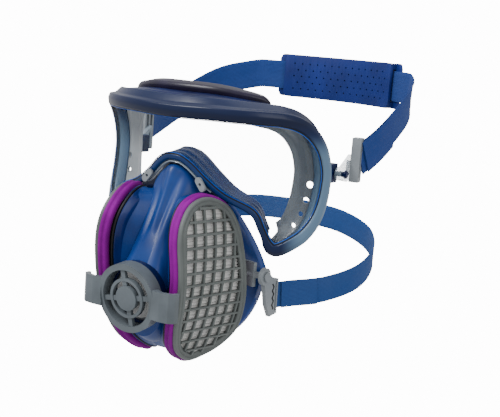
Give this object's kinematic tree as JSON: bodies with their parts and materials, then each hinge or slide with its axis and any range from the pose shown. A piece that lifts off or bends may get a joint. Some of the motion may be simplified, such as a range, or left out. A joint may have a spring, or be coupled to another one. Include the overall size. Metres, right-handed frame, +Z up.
{
  "type": "respirator with goggles",
  "caption": "Half-mask respirator with a wrapped goggle lens, side filter cartridges, a round exhalation valve, and head and neck straps with a perforated pad.",
  "frame": {"origin": "the seal point on the bridge of the wearer's nose", "axes": "+Z up, +Y towards the wearer's face and the back of the head, -Y the front of the mask, X across, symmetric apart from the head strap and pad"},
  "size_m": [0.2183, 0.2659, 0.2269],
  "materials": {
    "navy": "satin moulded elastomer",
    "charcoal": "satin moulded elastomer",
    "clear": "clear polycarbonate",
    "grey_soft": "satin moulded elastomer",
    "blue_soft": "satin moulded elastomer",
    "light_blue": "satin moulded elastomer",
    "grey_hard": "fine moulded grain",
    "pale_hard": "fine moulded grain",
    "white_soft": "translucent silicone",
    "magenta": "satin moulded seal",
    "black_soft": "satin moulded seal",
    "black_hard": "moulded plastic",
    "medium": "pleated filter paper",
    "webbing_blue": "woven elastic webbing"
  },
  "bodies": {
    "mask": {"goggle_frame": "navy", "brow_ridge": "charcoal", "brow_lip": "navy", "lens": "clear", "face_skirt": "grey_soft", "nose_cover": "light_blue", "nose_trim": "clear", "nose_clip_left": "pale_hard", "nose_clip_right": "pale_hard", "facepiece": "blue_soft", "face_lip": "light_blue", "valve_housing": "navy", "exhale_seat": "pale_hard", "port_collar_left": "light_blue", "port_collar_right": "light_blue", "port_gasket_left": "black_soft", "port_gasket_right": "black_soft", "inhale_seat_left": "pale_hard", "inhale_seat_right": "pale_hard", "neck_bracket_left": "grey_hard", "neck_bracket_right": "grey_hard", "clip_mount_left": "navy", "clip_mount_right": "navy"},
    "valve_harness": {"valve_cover": "grey_hard"},
    "exhale_valve": {"exhale_flap": "white_soft"},
    "inhale_valve_left": {"inhale_flap_left": "white_soft"},
    "inhale_valve_right": {"inhale_flap_right": "white_soft"},
    "cartridge_left": {"grille_left": "grey_hard", "filter_seal_left": "magenta", "filter_case_left": "black_hard", "filter_medium_left": "medium"},
    "cartridge_right": {"grille_right": "grey_hard", "filter_seal_right": "magenta", "filter_case_right": "black_hard", "filter_medium_right": "medium"},
    "head_harness": {"head_strap": "webbing_blue", "head_tail_left": "webbing_blue", "head_tail_right": "webbing_blue", "goggle_clip_left": "clear", "goggle_clip_right": "clear", "head_buckle_left": "pale_hard", "head_buckle_right": "pale_hard"},
    "pad": {"head_pad": "blue_soft"},
    "neck_harness": {"neck_strap": "webbing_blue", "neck_tail_left": "webbing_blue", "neck_tail_right": "webbing_blue", "neck_hook_left": "pale_hard", "neck_hook_right": "pale_hard"}
  },
  "joints": [
    {"name": "head_harness_swing", "type": "hinge", "parent": "mask", "child": "head_harness", "pos_m": [0, 0.0525, -0.009], "axis": [1, 0, 0], "range_deg": [-10, 60]},
    {"name": "pad_slide", "type": "hinge", "parent": "head_harness", "child": "pad", "pos_m": [0, 0.043, 0.054], "axis": [0, 0, 1], "range_deg": [-5, 3]},
    {"name": "neck_harness_swing", "type": "hinge", "parent": "mask", "child": "neck_harness", "pos_m": [0, 0.009, -0.086], "axis": [1, 0, 0], "range_deg": [-60, 5]},
    {"name": "cartridge_right_release", "type": "slide", "parent": "mask", "child": "cartridge_right", "axis": [0.9659, -0.2588, 0], "range_m": [0, 0.025]},
    {"name": "cartridge_left_release", "type": "slide", "parent": "mask", "child": "cartridge_left", "axis": [-0.9659, -0.2588, 0], "range_m": [0, 0.025]},
    {"name": "valve_harness_release", "type": "slide", "parent": "mask", "child": "valve_harness", "axis": [0, -0.9945, -0.1045], "range_m": [0, 0.02]},
    {"name": "exhale_valve_lift", "type": "slide", "parent": "mask", "child": "exhale_valve", "axis": [0, -0.9945, -0.1045], "range_m": [0, 0.0015], "stiffness_N_per_m": 30},
    {"name": "inhale_valve_right_lift", "type": "slide", "parent": "mask", "child": "inhale_valve_right", "axis": [-0.9659, 0.2588, 0], "range_m": [0, 0.0015], "stiffness_N_per_m": 30},
    {"name": "inhale_valve_left_lift", "type": "slide", "parent": "mask", "child": "inhale_valve_left", "axis": [0.9659, 0.2588, 0], "range_m": [0, 0.0015], "stiffness_N_per_m": 30}
  ]
}
